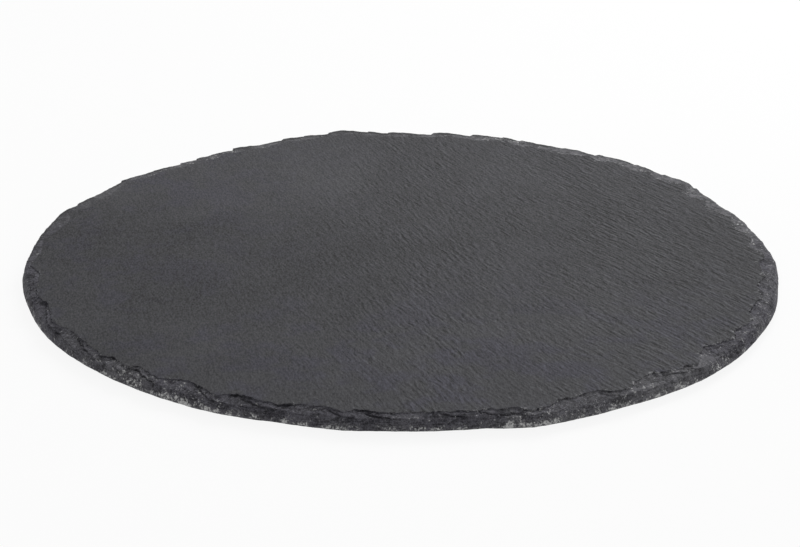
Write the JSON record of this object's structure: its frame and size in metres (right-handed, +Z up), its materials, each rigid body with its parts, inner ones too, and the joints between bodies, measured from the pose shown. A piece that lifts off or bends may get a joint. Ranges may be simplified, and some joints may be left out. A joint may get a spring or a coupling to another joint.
{
  "type": "slate serving board",
  "caption": "Round natural slate serving board with a hand-chipped rim and a flat cleft top face, standing on stick-on rubber feet.",
  "frame": {"origin": "on the table under the middle of the board, where the feet stand", "axes": "+Z up through the board's flat top face, +X to the right and +Y away from the front"},
  "size_m": [0.3006, 0.3036, 0.0088],
  "materials": {
    "slate": "natural cleft, matt",
    "foot_rubber": "matt moulded",
    "adhesive": "matt foam"
  },
  "bodies": {
    "root": {"slate_plate": "slate", "foot_front_left": "foot_rubber", "foot_front_right": "foot_rubber", "foot_back_left": "foot_rubber", "foot_back_right": "foot_rubber", "adhesive_front_left": "adhesive", "adhesive_front_right": "adhesive", "adhesive_back_left": "adhesive", "adhesive_back_right": "adhesive"}
  },
  "joints": []
}
